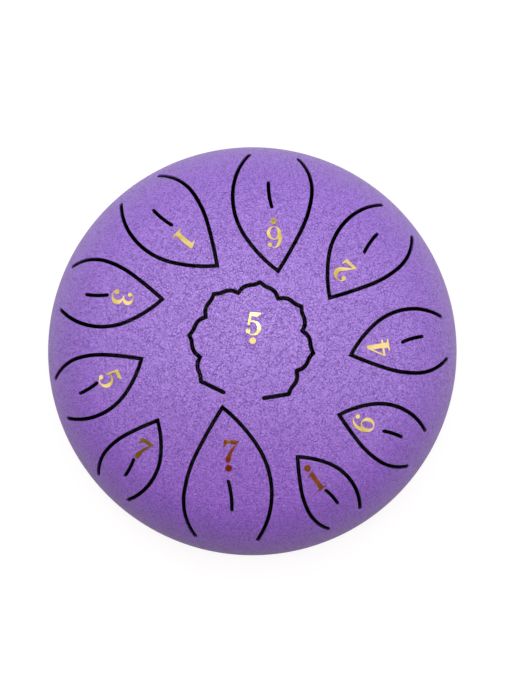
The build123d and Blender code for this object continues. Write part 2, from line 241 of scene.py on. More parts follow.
def purple_lacquer():
    """Satin purple outside, and bare steel darkened to near-black as painted shade where the spray didn't
    reach.
    """
    finish, tree, shader = new_finish("purple_lacquer")
    place = object_place(tree)
    crease, wrinkle = crackle(tree, place)
    grain = noise_on(tree, place, lacquer_scales["grain"], 2.0)["Fac"]
    cloud = noise_on(tree, place, lacquer_scales["cloud"], 3.0)["Fac"]
    tint = ramp(tree, cloud, ((0.3, deep_purple), (0.7, mid_purple)))
    mottled = blend_colour(tree, map_range(tree, grain, (0.36, 0.64), (0.0, 1.0)), tint, pale_grain)
    crease_shade_mix = math_node(tree, "MULTIPLY", crease, crease_shade_share)
    wrinkle_glint_mix = math_node(tree, "MULTIPLY", wrinkle, wrinkle_glint_share)
    # painted shade darkens the colour in the creases
    crease_shaded = blend_colour(tree, crease_shade_mix, mottled, painted_crease_shade)
    # painted highlights lighten the colour on the wrinkles
    wrinkle_glinted = blend_colour(tree, wrinkle_glint_mix, crease_shaded, painted_wrinkle_glint)
    depth = add_node(tree, "ShaderNodeAttribute", attribute_name="depth").outputs["Fac"]
    # down the slot walls the colour fades into the near-black painted shade of the inside
    bare_and_shaded = map_range(tree, depth, (0.1, 0.45), (0.0, 1.0))
    relief = math_node(tree, "ADD", grain, math_node(tree, "SUBTRACT", wrinkle, crease))
    set_sockets(tree, shader, {
        "Base Color": blend_colour(tree, bare_and_shaded, wrinkle_glinted, bare_steel_and_shade),
        "Roughness": map_range(tree, grain, (0.3, 0.7), (0.27, 0.37)),
        "Specular IOR Level": 1.0,
        "Normal": bumped(tree, relief, 1.0, lacquer_relief),
    })
    return finish


lacquer = purple_lacquer()
print("finish:", lacquer.name)

# %% [markdown]
# The numbers are cut from mirror foil: a smooth gold metal, just uneven enough to bend reflections.

# %% Gold foil
dark_gold = (0.34, 0.25, 0.05)
light_gold = (0.5, 0.38, 0.16)
foil_waves_per_metre = 160.0
foil_relief = 0.3 * MM


def gold_foil():
    """A gold mirror with low waves."""
    finish, tree, shader = new_finish("gold_foil")
    waves = noise_on(tree, object_place(tree), foil_waves_per_metre, 2.0)["Fac"]
    set_sockets(tree, shader, {
        "Base Color": ramp(tree, waves, ((0.38, dark_gold), (0.62, light_gold))),
        "Metallic": 1.0,
        "Roughness": 0.12,
        "Normal": bumped(tree, waves, 0.6, foil_relief),
    })
    return finish


foil = gold_foil()
print("finish:", foil.name)

# %% [markdown]
# The feet are moulded rubber with a faint grain, and the seam is filled with a matt sealant that was
# drawn smooth by hand. Both are dark and dull, with a noise in their colour, roughness and bump.

# %% Rubber and sealant
speck_relief = 0.1 * MM


def dull_finish(name, dark, light, specks_per_metre, roughness):
    """A dull dark finish with a speckled grain."""
    finish, tree, shader = new_finish(name)
    speck = noise_on(tree, object_place(tree), specks_per_metre, 4.0)["Fac"]
    set_sockets(tree, shader, {
        "Base Color": ramp(tree, speck, ((0.3, dark), (0.75, light))),
        "Roughness": map_range(tree, speck, (0.3, 0.7), (roughness, roughness + 0.15)),
        "Normal": bumped(tree, speck, 0.3, speck_relief),
    })
    return finish


rubber = dull_finish("black_rubber", (0.012, 0.012, 0.013), (0.035, 0.035, 0.037), 900.0, 0.6)
sealant = dull_finish("seam_sealant", (0.05, 0.03, 0.1), (0.09, 0.055, 0.16), 500.0, 0.5)
print("finishes:", rubber.name, "and", sealant.name)

# %% [markdown]
# ## A tree that presses sheet metal
# A bowl starts as a flat blank and is pressed over a die. This Geometry Nodes tree does the same. The
# die is a curve, half of the bowl's section. A point of the blank keeps its direction, its distance
# from the middle becomes a length along the die, and its depth in the sheet is measured square to the
# die. The same tree turns round pieces: their blank is a ring that is as wide as their whole section.


# %% Starts and ends of a tree
def new_tree(name, inputs, output):
    """A Geometry Nodes tree with named inputs and one output, and the inputs' sockets."""
    tree = bpy.data.node_groups.new(name, "GeometryNodeTree")
    for label, kind in inputs.items():
        tree.interface.new_socket(label, in_out="INPUT", socket_type="NodeSocket" + kind)
    tree.interface.new_socket(output, in_out="OUTPUT", socket_type="NodeSocketGeometry")
    return tree, add_node(tree, "NodeGroupInput").outputs


def end_tree(tree, geometry, finish, output):
    """Make a tree's result real, give it its finish and hand it out."""
    real = add_node(tree, "GeometryNodeRealizeInstances", {"Geometry": geometry})
    painted = add_node(tree, "GeometryNodeSetMaterial", {"Geometry": real.outputs[0], "Material": finish})
    add_node(tree, "NodeGroupOutput", {output: painted.outputs[0]})
    return tree


def vector_math(tree, operation, *values):
    """A Vector Math node's first output."""
    return add_node(tree, "ShaderNodeVectorMath", dict(enumerate(values)), operation=operation).outputs[0]


def scaled(tree, vector, scale):
    """A vector times a number."""
    return add_node(tree, "ShaderNodeVectorMath", {0: vector, "Scale": scale}, operation="SCALE").outputs[0]


# %% The press
def make_press():
    """The tree that forms a blank over a die."""
    inputs = {"Blank": "Geometry", "Die": "Object", "Hole Radius": "Float", "Finish": "Material"}
    tree, given = new_tree("press_over_die", inputs, "Bowl")
    spot = add_node(tree, "GeometryNodeInputPosition").outputs[0]
    flat = vector_math(tree, "MULTIPLY", spot, (1, 1, 0))
    reach = add_node(tree, "ShaderNodeVectorMath", {0: flat}, operation="LENGTH").outputs["Value"]
    heading = vector_math(tree, "NORMALIZE", flat)
    lift = split(tree, spot)["Z"]
    die = add_node(tree, "GeometryNodeObjectInfo", {"Object": given["Die"]}).outputs["Geometry"]
    run = math_node(tree, "SUBTRACT", reach, given["Hole Radius"])
    sample = add_node(tree, "GeometryNodeSampleCurve", {"Curves": die, "Length": run}, mode="LENGTH")
    spot_on_die = split(tree, sample.outputs["Position"])
    slope = split(tree, sample.outputs["Tangent"])
    out = math_node(tree, "SUBTRACT", spot_on_die["X"], math_node(tree, "MULTIPLY", lift, slope["Z"]))
    up = math_node(tree, "ADD", spot_on_die["Z"], math_node(tree, "MULTIPLY", lift, slope["X"]))
    level = add_node(tree, "ShaderNodeCombineXYZ", {"Z": up}).outputs[0]
    new_spot = vector_math(tree, "ADD", scaled(tree, heading, out), level)
    formed = add_node(tree, "GeometryNodeSetPosition", {"Geometry": given["Blank"], "Position": new_spot})
    return end_tree(tree, formed.outputs[0], given["Finish"], "Bowl")


press = make_press()
print("tree:", press.name, "with", len(press.nodes), "nodes")

# %% [markdown]
# A tree's inputs are set on the modifier by the socket's identifier. The result is then read back as
# a plain mesh, because a finished piece carries no live tree.


# %% Run a tree
def run_tree(tree, piece, **inputs):
    """Evaluate a tree on a piece and keep the result as the piece's own mesh."""
    modifier = piece.modifiers.new(tree.name, "NODES")
    modifier.node_group = tree
    for item in tree.interface.items_tree:
        key = item.name.lower().replace(" ", "_")
        if item.in_out == "INPUT" and key in inputs:
            modifier[item.identifier] = inputs[key]
    bpy.context.view_layer.update()
    seen = piece.evaluated_get(bpy.context.evaluated_depsgraph_get())
    mesh = bpy.data.meshes.new_from_object(seen)
    piece.modifiers.remove(modifier)
    old, piece.data = piece.data, mesh
    bpy.data.meshes.remove(old)
    mesh.name = piece.name
    return piece


def add_to_scene(name, data):
    """A new object in the scene."""
    thing = bpy.data.objects.new(name, data)
    bpy.context.scene.collection.objects.link(thing)
    return thing


def turn_outwards(mesh, weld=None):
    """Turn all faces outwards, after welding points that lie within a distance."""
    work = bmesh.new()
    work.from_mesh(mesh)
    if weld is not None:
        bmesh.ops.remove_doubles(work, verts=work.verts, dist=weld)
    bmesh.ops.recalc_face_normals(work, faces=work.faces)
    work.to_mesh(mesh)
    work.free()


def new_piece(name, points, faces):
    """A mesh object whose faces all point outwards."""
    mesh = bpy.data.meshes.new(name)
    mesh.from_pydata([tuple(p) for p in points], [], faces)
    turn_outwards(mesh)
    return add_to_scene(name, mesh)


def mark_depth(piece, values):
    """Store how deep in the sheet each point lies, as the lacquer's depth attribute."""
    mark = piece.data.attributes.new("depth", "FLOAT", "POINT")
    mark.data.foreach_set("value", np.asarray(values, np.float32))
    return piece


def smooth(piece, sharp_over=40):
    """Smooth shading, apart from edges that bend by more than the given degrees."""
    piece.data.shade_smooth()
    piece.data.set_sharp_from_angle(angle=math.radians(sharp_over))
    return piece


# %% Make and scrap a die
def new_die(name, section):
    """A curve through a section's points, given as distance from the axis and height."""
    curve = bpy.data.curves.new(name, "CURVE")
    curve.dimensions = "3D"
    line = curve.splines.new("POLY")
    line.points.add(len(section) - 1)
    for point, (out, up) in zip(line.points, section):
        point.co = (out, 0, up, 1)
    return add_to_scene(name, curve)


def scrap(die):
    """Remove a die that has done its work."""
    curve = die.data
    bpy.data.objects.remove(die)
    bpy.data.curves.remove(curve)


# %% [markdown]
# ## The upper bowl's die
# The outer face of the upper bowl is a wide crown, a tighter shoulder that leaves it without a bend,
# and a short straight skirt. A point of the drum's plan is laid out on the blank by swapping its
# distance from the axis for the length of the way over the crown and shoulder.


# %% Section of the upper bowl
def arc(middle, radius, turns):
    """Points on a circle at turns measured from straight up towards the rim."""
    return [(middle[0] + radius * math.sin(t), middle[1] + radius * math.cos(t)) for t in turns]


neck_radius = rim_radius - shoulder_radius
crown_turn = math.asin(neck_radius / (crown_radius - shoulder_radius))
crown_edge = crown_radius * math.sin(crown_turn)
crown_run = crown_radius * crown_turn
shoulder_run = shoulder_radius * (math.pi / 2 - crown_turn)
upper_run = crown_run + shoulder_run + skirt_height
die_steps = 240
upper_section = (
    arc((0, top_level - crown_radius), crown_radius, np.linspace(0, crown_turn, die_steps))
    + arc((neck_radius, crown_level), shoulder_radius, np.linspace(crown_turn, math.pi / 2, die_steps)[1:])
    + [(rim_radius, upper_edge)]
)
same_place = 1e-9


def lay_out(plan):
    """Plan points of the upper bowl on its flat blank."""
    plan = np.asarray(plan, float)
    distance = np.maximum(np.hypot(plan[:, 0], plan[:, 1]), same_place)
    crown = crown_radius * np.arcsin(np.minimum(distance, crown_edge) / crown_radius)
    lean = np.arcsin((np.maximum(distance, crown_edge) - neck_radius) / shoulder_radius)
    return plan * ((crown + shoulder_radius * (lean - crown_turn)) / distance)[:, None]


print("upper blank: radius %.1f mm" % (upper_run / MM))

# %% [markdown]
# ## The slots
# Each leaf tongue is bounded by a laser slot that runs from the root down one side, round a sharp tip
# and up the other side. One set of shares gives every leaf its outline, so only the place, the length
# and the ends of the slot differ. A slot is drawn by its middle line, and both metal edges are that
# line moved sideways.

# %% Arcs of a slot
line_step = 0.5 * MM
straight_turn = 1e-6


def left_of(way):
    """A direction turned a quarter to the left."""
    return np.array([-way[1], way[0]])


def arc_from(start, end, heading, share=1.0):
    """Points of the arc that leaves start in a heading towards end, and its last heading."""
    start, end, heading = (np.asarray(v, float) for v in (start, end, heading))
    chord = end - start
    reach = np.linalg.norm(chord)
    side = left_of(heading)
    turn = 2 * math.atan2(side @ chord, heading @ chord)
    count = max(2, math.ceil(reach / line_step) + 1)
    if abs(turn) < straight_turn:
        return start + np.linspace(0, share, count)[:, None] * chord, heading
    radius = reach / (2 * math.sin(turn / 2))
    turn *= share
    sweep = np.linspace(0, turn, count)[:, None]
    points = start + radius * (np.sin(sweep) * heading + (1 - np.cos(sweep)) * side)
    return points, math.cos(turn) * heading + math.sin(turn) * side


def bowed(start, end, bow):
    """Points of the arc that bows to the left of its chord by a distance, and its last heading."""
    chord = end - start
    lean = 2 * math.atan2(2 * bow, np.linalg.norm(chord))
    heading = chord / np.linalg.norm(chord)
    return arc_from(start, end, math.cos(lean) * heading + math.sin(lean) * left_of(heading))


def straight(start, end):
    """Points on the straight line between two places."""
    return arc_from(start, end, (end - start) / np.linalg.norm(end - start))[0]


print("slot lines every %.1f mm" % (line_step / MM))

# %% Lines of a slot
corner_clear = 1.7 * MM
end_points = 9


def join_runs(runs):
    """Runs of points as one line, with no point so near a corner that moving the line would fold it."""
    kept = []
    for number, run in enumerate(runs):
        length = np.concatenate([[0], np.cumsum(np.linalg.norm(np.diff(run, axis=0), axis=1))])
        left = length[-1] - length
        keep = np.ones(len(run), bool)
        if number > 0:
            keep &= (length < same_place) | (length > corner_clear)
        if number < len(runs) - 1:
            keep &= (left < same_place) | (left > corner_clear)
        kept.append(run[keep] if number == 0 else run[keep][1:])
    return np.vstack(kept)


def move_line(line, amount):
    """An open line moved to its left, mitred at its corners."""
    along = np.diff(line, axis=0)
    along /= np.linalg.norm(along, axis=1)[:, None]
    side = np.column_stack([-along[:, 1], along[:, 0]])
    before, after = np.vstack([side[:1], side]), np.vstack([side, side[-1:]])
    mitre = (before + after) / (1 + (before * after).sum(1))[:, None]
    return line + amount * mitre


def round_end(line, radius, at_start, from_turn, to_turn):
    """Half circle round an end of a line; turns run from its right (-90) over the end to its left (90)."""
    end, inside = (line[0], line[1]) if at_start else (line[-1], line[-2])
    ahead = (end - inside) / np.linalg.norm(end - inside)
    left = left_of(ahead) * (-1 if at_start else 1)
    turns = np.radians(np.linspace(from_turn, to_turn, end_points))[:, None]
    return end + radius * (np.cos(turns) * ahead + np.sin(turns) * left)


# %% [markdown]
# The leaf's shares are the same as in the CAD: clockwise from the tongue's axis, and out from its tip.

# %% Leaves
slot_width = 1.4 * MM
lotus_slot_width = 1.5 * MM
slit_width = 1.3 * MM
root_setback = 4 * MM
root_ring = rim_radius - root_setback
lotus_radius = 22.5 * MM
leaves = {
    # note: direction in degrees, place of the tip, reach of the root, and how far the slot runs
    # from cheek to root on the clockwise side and on the other
    "low_6": (90.7, 0.099, 0.985, 1.0, 0.94),
    "low_7": (269.6, 0.031, 1.0, 0.9, 0.77),
    "1": (132.5, 0.157, 0.995, 1.0, 0.9),
    "2": (48.5, 0.198, 0.985, 1.0, 0.92),
    "3": (169.5, 0.262, 1.005, 0.94, 0.83),
    "4": (10.1, 0.263, 0.985, 0.99, 0.83),
    "5": (202.4, 0.341, 1.015, 0.91, 0.82),
    "6": (335.8, 0.353, 0.99, 0.93, 0.79),
    "7": (232.8, 0.412, 1.015, 0.88, 0.76),
    "high_1": (305.9, 0.418, 1.0, 0.9, 0.75),
}
leaf_tip_share = (0.139, 0.0)
clockwise_shares = ((0.28, 0.36), (0.33, 0.667), (0.18, 1.0))
counter_shares = ((-0.167, 0.253), (-0.32, 0.667), (-0.22, 1.0))
slit_shares = ((0.017, 0.53), (-0.038, 0.735))
slit_bow_share = 0.008


def leaf_place(note):
    """Tip distance and length of a leaf, and the plan directions of its two axes."""
    azimuth, tip_share, root_share = leaves[note][:3]
    tip = lotus_radius + tip_share * (root_ring - lotus_radius)
    turn = math.radians(azimuth)
    outwards = np.array([math.cos(turn), math.sin(turn)])
    clockwise = np.array([math.sin(turn), -math.cos(turn)])
    return tip, root_ring * root_share - tip, clockwise, outwards


def leaf_point(note, share):
    """Plan point of a leaf from its shares."""
    tip, length, clockwise, outwards = leaf_place(note)
    return tip * outwards + length * (share[0] * clockwise + share[1] * outwards)


def leaf_line(note):
    """Middle line of a leaf's slot, from its clockwise root round the tip to its other root."""
    outwards = leaf_place(note)[3]
    tip = leaf_point(note, leaf_tip_share)
    sides = []
    for shares, end_share in zip((clockwise_shares, counter_shares), leaves[note][3:]):
        flank, cheek, root = (leaf_point(note, share) for share in shares)
        to_root, _ = arc_from(cheek, root, outwards, end_share)
        to_flank, heading = arc_from(cheek, flank, -outwards)
        to_tip, _ = arc_from(flank, tip, heading)
        sides.append(np.vstack([to_root[::-1], to_flank[1:], to_tip[1:]]))
    return join_runs([sides[0], sides[1][::-1]])


def slit_line(note):
    """Middle line of the short slit that tunes a leaf."""
    inner, outer = (leaf_point(note, share) for share in slit_shares)
    return bowed(inner, outer, slit_bow_share * leaf_place(note)[1])[0]


print("leaf lengths in mm:", dict(zip(leaves, in_mm(leaf_place(note)[1] for note in leaves))))

# %% [markdown]
# The lotus in the middle is a tongue too, the lowest one. Its slot runs from petal tip to petal tip,
# and leaves out the petal at the root. A petal's side is hollow near the tip and swells to the notch.

# %% Lotus
petal_count = 8
petal_pitch = 2 * math.pi / petal_count
lotus_notch_depth = 3.5 * MM
lotus_root = np.array([7.4 * MM, -18.6 * MM])
petal_knee_share = (0.4, 0.07)
petal_swell_share = 0.08


def at_turn(turn, distance):
    """Plan point at a turn from +X and a distance from the axis."""
    return distance * np.array([math.cos(turn), math.sin(turn)])


def petal_side(tip, notch, turn):
    """One side of a petal from its tip to the notch; turn is 1 going round anticlockwise."""
    along = notch - tip
    outwards = turn * np.array([along[1], -along[0]])
    knee = tip + petal_knee_share[0] * along + petal_knee_share[1] * outwards
    swell = petal_swell_share * np.linalg.norm(along)
    to_knee, heading = bowed(notch, knee, turn * swell)
    to_tip, _ = arc_from(knee, tip, heading)
    return np.vstack([to_knee, to_tip[1:]])[::-1]


def lotus_line():
    """Middle line of the lotus slot, clockwise like a leaf's: its inside is on the right."""
    first = 1.5 * math.pi + petal_pitch
    tips = [at_turn(first + petal * petal_pitch, lotus_radius) for petal in range(petal_count - 1)]
    runs = [straight(lotus_root, tips[0])]
    for petal in range(petal_count - 2):
        notch = at_turn(first + (petal + 0.5) * petal_pitch, lotus_radius - lotus_notch_depth)
        runs.append(petal_side(tips[petal], notch, 1))
        runs.append(petal_side(tips[petal + 1], notch, -1)[::-1])
    runs.append(straight(tips[-1], lotus_root * (-1, 1)))
    return join_runs(runs)[::-1]


print("lotus line:", len(lotus_line()), "points")

# %% [markdown]
# ## Blanks with painted edges
# Lacquer draws back from a cut edge and leaves it rounded, and these edges catch the light along every
# slot. The rim of a blank is therefore a set of loops: two on the face, three round the corner, one at
# the foot of the wall and one on the back.

# %% Rims of a blank
edge_radius = 0.15 * MM
face_strip = 0.12 * MM
corner_turns = np.radians([0, 30, 60, 90])
# inset and depth of each loop
rim_loops = (
    [(edge_radius + face_strip, 0)]
    + [(edge_radius * (1 - math.sin(t)), edge_radius * (1 - math.cos(t))) for t in corner_turns]
    + [(0, sheet), (edge_radius + face_strip, sheet)]
)
root_step = 0.8 * MM


def outer_side(line, reach):
    """The left edge of a slot, with the round ends that belong to it."""
    return np.vstack([
        round_end(line, reach, True, -90, 90),
        move_line(line, reach)[1:-1],
        round_end(line, reach, False, 90, -90),
    ])


def slot_rim(note, tongue_side):
    """Loops along one edge of a tongue's slot, and the points along the root that the slot leaves."""
    line, width = (leaf_line(note), slot_width) if note in leaves else (lotus_line(), lotus_slot_width)
    reaches = [width / 2 + inset for inset, _ in rim_loops]
    loops = [move_line(line, -reach) if tongue_side else outer_side(line, reach) for reach in reaches]
    start, end = loops[0][-1], loops[0][0]
    count = math.ceil(np.linalg.norm(end - start) / root_step)
    root = start + np.linspace(0, 1, count + 1)[1:-1, None] * (end - start)
    return {"loops": [lay_out(loop) for loop in loops], "root": lay_out(root)}


def slit_rim(line):
    """Loops round a slit that is closed at both ends."""
    reaches = [slit_width / 2 + inset for inset, _ in rim_loops]
    loops = [np.vstack([outer_side(line, reach), move_line(line, -reach)[1:-1][::-1]]) for reach in reaches]
    return {"loops": [lay_out(loop) for loop in loops], "root": None}


def ring_of(count):
    """Points spread evenly round a circle of radius 1."""
    turns = np.linspace(0, 2 * math.pi, count, endpoint=False)
    return np.column_stack([np.cos(turns), np.sin(turns)])


def edge_rim(radius, count):
    """Loops along a blank's round outer edge."""
    return {"loops": [ring_of(count) * (radius - inset) for inset, _ in rim_loops], "root": None}


def rim_outline(rim):
    """The face's edge at a rim, as a closed polygon."""
    return rim["loops"][0] if rim["root"] is None else np.vstack([rim["loops"][0], rim["root"]])


print("insets of the rim loops in mm:", in_mm((inset for inset, _ in rim_loops), 2))

# %% [markdown]
# A blank is a flat plate between its rims. Its faces are filled by a constrained Delaunay triangulation
# with a grid of points inside, so that the press has something to bend.

# %% Points on a plate
edge_clear_share = 0.5


def inside(points, outline):
    """Which points lie inside a closed polygon."""
    result = np.zeros(len(points), bool)
    x, y = points[:, 0], points[:, 1]
    for (ax, ay), (bx, by) in zip(outline, np.roll(outline, -1, axis=0)):
        if ay != by:
            crosses = (ay > y) != (by > y)
            result ^= crosses & (x < (bx - ax) * (y - ay) / (by - ay) + ax)
    return result


def on_plate(points, outlines):
    """Which points lie on a plate: inside its first outline and outside its holes."""
    result = inside(points, outlines[0])
    for hole in outlines[1:]:
        near = np.all((points > hole.min(0)) & (points < hole.max(0)), axis=1)
        result[near] &= ~inside(points[near], hole)
    return result


def grid_on(outlines, pitch):
    """Points in staggered rows on a plate, a little away from its edges."""
    low, high = outlines[0].min(0), outlines[0].max(0)
    rows = []
    for number, level in enumerate(np.arange(low[1], high[1], pitch * math.sqrt(0.75))):
        across = np.arange(low[0] + (number % 2) * pitch / 2, high[0], pitch)
        rows.append(np.column_stack([across, np.full_like(across, level)]))
    spots = np.vstack(rows)
    spots = spots[on_plate(spots, outlines)]
    edge = np.vstack(outlines)
    tree = KDTree(len(edge))
    for number, (x, y) in enumerate(edge):
        tree.insert((x, y, 0), number)
    tree.balance()
    clear = [tree.find((x, y, 0))[2] > edge_clear_share * pitch for x, y in spots]
    return spots[np.array(clear, bool)]


# %% Fill a blank
def fill(outlines, pitch):
    """Points of a plate, outlines first, and the triangles between them."""
    spots = [*outlines, grid_on(outlines, pitch)]
    starts = np.cumsum([0] + [len(part) for part in spots])
    edges = []
    for start, outline in zip(starts, outlines):
        ring = start + np.arange(len(outline))
        edges += [(int(a), int(b)) for a, b in zip(ring, np.roll(ring, -1))]
    flat = np.vstack(spots)
    made = delaunay_2d_cdt([Vector(p) for p in flat], edges, [], 1, same_place)
    source = [int(origin[0]) for origin in made[3]]
    triangles = np.array([[source[v] for v in face] for face in made[2]])
    return flat, starts, triangles[on_plate(flat[triangles].mean(1), outlines)]


def make_blank(name, rims, pitch):
    """A flat plate with rounded rims, as one closed mesh. The first rim is its outer edge."""
    flat, starts, triangles = fill([rim_outline(rim) for rim in rims], pitch)
    total = len(flat)
    points = [np.column_stack([flat, np.zeros(total)]), np.column_stack([flat, np.full(total, -sheet)])]
    faces = [tuple(t) for t in triangles.tolist()] + [tuple(t + total) for t in triangles[:, ::-1]]
    used = 2 * total
    for start, rim in zip(starts, rims):
        count = len(rim["loops"][0])
        numbers = [start + np.arange(count)]
        for loop, (_, depth) in list(zip(rim["loops"], rim_loops))[1:-1]:
            points.append(np.column_stack([loop, np.full(count, -depth)]))
            numbers.append(used + np.arange(count))
            used += count
        numbers.append(total + numbers[0])
        last = count if rim["root"] is None else count - 1
        for upper, lower in zip(numbers, numbers[1:]):
            for a in range(last):
                b = (a + 1) % count
                faces.append((upper[a], upper[b], lower[b], lower[a]))
        if rim["root"] is not None:
            faces.append(tuple(ring[0] for ring in numbers))
            faces.append(tuple(ring[-1] for ring in numbers))
            chain = [start + count - 1, *range(start + count, start + count + len(rim["root"])), start]
            for a, b in zip(chain, chain[1:]):
                faces.append((a, b, b + total, a + total))
    points = np.vstack(points)
    blank = new_piece(name, points, [tuple(int(v) for v in face) for face in faces])
    return mark_depth(blank, -points[:, 2] / sheet)


# %% [markdown]
# ## The upper bowl and its tongues
# The bowl keeps the metal between the slots, and each tongue is a piece of its own that meets the bowl
# only at its root. There both blanks share the same points, so the paint runs on without a seam.

# %% Press the upper bowl
blank_pitch = 1.5 * MM
rim_points = 420
upper_die = new_die("upper_die", upper_section)
notes = ["low_5", *leaves]
upper_rims = [edge_rim(upper_run, rim_points)] + [slot_rim(note, False) for note in notes]
upper_bowl = make_blank("upper_bowl", upper_rims, blank_pitch)
run_tree(press, upper_bowl, die=upper_die, hole_radius=0.0, finish=lacquer)
smooth(upper_bowl)
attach(upper_bowl, "shell")
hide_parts("upper_shell")
print("upper bowl:", len(upper_bowl.data.polygons), "faces")

# %% [markdown]
# A struck tongue bends: its root stays with the bowl and its tip swings. A tongue could ride on its own
# body alone, but then its root would open. The middle of each tongue's root, and a place from which the
# rest of it would move as one, are worked out below, but the tongue is neither blended nor attached to
# a body here.


stiff_share = 0.5
lotus_stiff = np.array([0, -4 * MM])
for note in notes:
    rims = [slot_rim(note, True)]
    if note in leaves:
        rims.append(slit_rim(slit_line(note)))
        root, stiff = leaf_line(note)[[0, -1]].mean(0), leaf_point(note, (0, stiff_share))
    else:
        root, stiff = lotus_root * (0, 1), lotus_stiff
    leaf = make_blank(f"spring_{note}", rims, blank_pitch)
    run_tree(press, leaf, die=upper_die, hole_radius=0.0, finish=lacquer)
    smooth(leaf)
    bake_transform(leaf)
    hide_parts(f"tongue_{note}")
    print(leaf.name, len(leaf.data.polygons), "faces")
scrap(upper_die)

# %% [markdown]
# ## The lower bowl
# The lower bowl is round, so its whole section goes through the press as the die, and a plain ring is
# its blank. The small holes for the feet are left out, because the feet cover them. The section starts
# in the turned-up lip of the sound hole, runs over the base and the shoulder, and ends in the stepped
# lip that stands inside the upper skirt.

# %% Turning on the press
ring_hole = 20 * MM
weld_distance = 1e-6
nearly_straight = -0.8
side_share = 0.45
corner_shares = (0, 0.33, 0.67, 1)


def soften(section, cut):
    """A closed section with each sharp corner swapped for a small round one."""
    section = np.asarray(section, float)
    soft = []
    for before, corner, after in zip(np.roll(section, 1, 0), section, np.roll(section, -1, 0)):
        back, ahead = before - corner, after - corner
        back_reach, ahead_reach = np.linalg.norm(back), np.linalg.norm(ahead)
        if back @ ahead / (back_reach * ahead_reach) < nearly_straight:
            soft.append(corner)
            continue
        reach = min(cut, side_share * back_reach, side_share * ahead_reach)
        first, last = corner + back * reach / back_reach, corner + ahead * reach / ahead_reach
        for share in corner_shares:
            pulls = (1 - share) ** 2, 2 * share * (1 - share), share**2
            soft.append(pulls[0] * first + pulls[1] * corner + pulls[2] * last)
    return np.array(soft)


def turned(name, section, count, finish, closed, depths=None):
    """A round piece: a ring blank pressed over its whole section."""
    section = np.asarray(section, float)
    run = np.concatenate([[0], np.cumsum(np.linalg.norm(np.diff(section, axis=0), axis=1))])
    ring = np.column_stack([ring_of(count), np.zeros(count)])
    points = np.vstack([(ring_hole + reach) * ring for reach in run])
    rows = len(section) if closed else len(section) - 1
    faces = []
    for row in range(rows):
        here, there = row * count, (row + 1) % len(section) * count
        for a in range(count):
            b = (a + 1) % count
            faces.append((here + a, here + b, there + b, there + a))
    piece = new_piece(name, points, faces)
    if depths is not None:
        mark_depth(piece, np.repeat(depths, count))
    die = new_die(name + "_die", section)
    run_tree(press, piece, die=die, hole_radius=ring_hole, finish=finish)
    scrap(die)
    turn_outwards(piece.data, weld_distance)
    return smooth(piece)


# %% Turn the lower bowl
lip_gap = 0.1 * MM
lip_radius = rim_radius - sheet - lip_gap
lip_height = 4.5 * MM
sound_hole_radius = 22 * MM
sound_lip_bend = 1.5 * MM
sound_lip_height = 3 * MM
edge_softness = 0.35 * MM
bowl_points = 240
base_middle = base_clearance + base_radius
base_lean = math.asin(neck_radius / (base_radius - base_shoulder_radius))
bend_radius = sound_lip_bend + sheet
bend_distance = sound_hole_radius + bend_radius
bend_lean = math.asin(bend_distance / (base_radius - bend_radius))
bend_level = base_middle - (base_radius - bend_radius) * math.cos(bend_lean)


def lower_face(depth):
    """Section of the lower bowl at a depth below its outer face, from the sound hole to the lip."""
    half_turn = math.pi
    return (
        [(sound_hole_radius + depth, bend_level + sound_lip_height)]
        + arc((bend_distance, bend_level), bend_radius - depth,
              np.linspace(-half_turn / 2, -half_turn - bend_lean, 10))
        + arc((0, base_middle), base_radius - depth,
              np.linspace(half_turn - bend_lean, half_turn - base_lean, 20)[1:])
        + arc((neck_radius, base_level), base_shoulder_radius - depth,
              np.linspace(half_turn - base_lean, half_turn / 2, 30)[1:])
        + [(rim_radius - depth, seam_level - depth), (lip_radius - depth, seam_level - depth),
           (lip_radius - depth, upper_edge + lip_height)]
    )


outer_face = lower_face(0)
lower_section = soften(outer_face + lower_face(sheet)[::-1], edge_softness)
near_outside = [min(math.dist(point, other) for other in outer_face) for point in lower_section]
lower_depths = np.clip(np.array(near_outside) / sheet, 0, 1)
lower_bowl = turned("lower_bowl", lower_section, bowl_points, lacquer, closed=True, depths=lower_depths)
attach(lower_bowl, "shell")
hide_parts("lower_shell")
print("lower bowl:", len(lower_bowl.data.polygons), "faces, box in mm", in_mm(lower_bowl.dimensions))

# %% [markdown]
# ## The seam
# A bead of sealant fills the groove between the bowls. It follows a circle, so a tree sweeps a small
# rounded section along one, and a little noise makes it uneven, as a bead drawn by hand is.

# %% Sealant bead
bead_points = 300
bead_waves_per_metre = 90.0


def make_bead():
    """The tree that draws a bead along a circle."""
    sizes = dict.fromkeys(("Ring Radius", "Width", "Height", "Rounding", "Unevenness"), "Float")
    tree, given = new_tree("draw_bead", {"Start": "Geometry", **sizes, "Finish": "Material"}, "Bead")
    path = add_node(tree, "GeometryNodeCurvePrimitiveCircle",
                    {"Resolution": bead_points, "Radius": given["Ring Radius"]})
    box = add_node(tree, "GeometryNodeCurvePrimitiveQuadrilateral",
                   {"Width": given["Width"], "Height": given["Height"]})
    section = add_node(tree, "GeometryNodeFilletCurve",
                       {"Curve": box.outputs[0], "Radius": given["Rounding"], "Count": 4}, mode="POLY")
    sweep = add_node(tree, "GeometryNodeCurveToMesh",
                     {"Curve": path.outputs[0], "Profile Curve": section.outputs[0]})
    noise = add_node(tree, "ShaderNodeTexNoise", {"Scale": bead_waves_per_metre, "Detail": 2.0})
    centred = vector_math(tree, "SUBTRACT", noise.outputs["Color"], (0.5, 0.5, 0.5))
    shift = scaled(tree, centred, given["Unevenness"])
    uneven = add_node(tree, "GeometryNodeSetPosition", {"Geometry": sweep.outputs[0], "Offset": shift})
    return end_tree(tree, uneven.outputs[0], given["Finish"], "Bead")


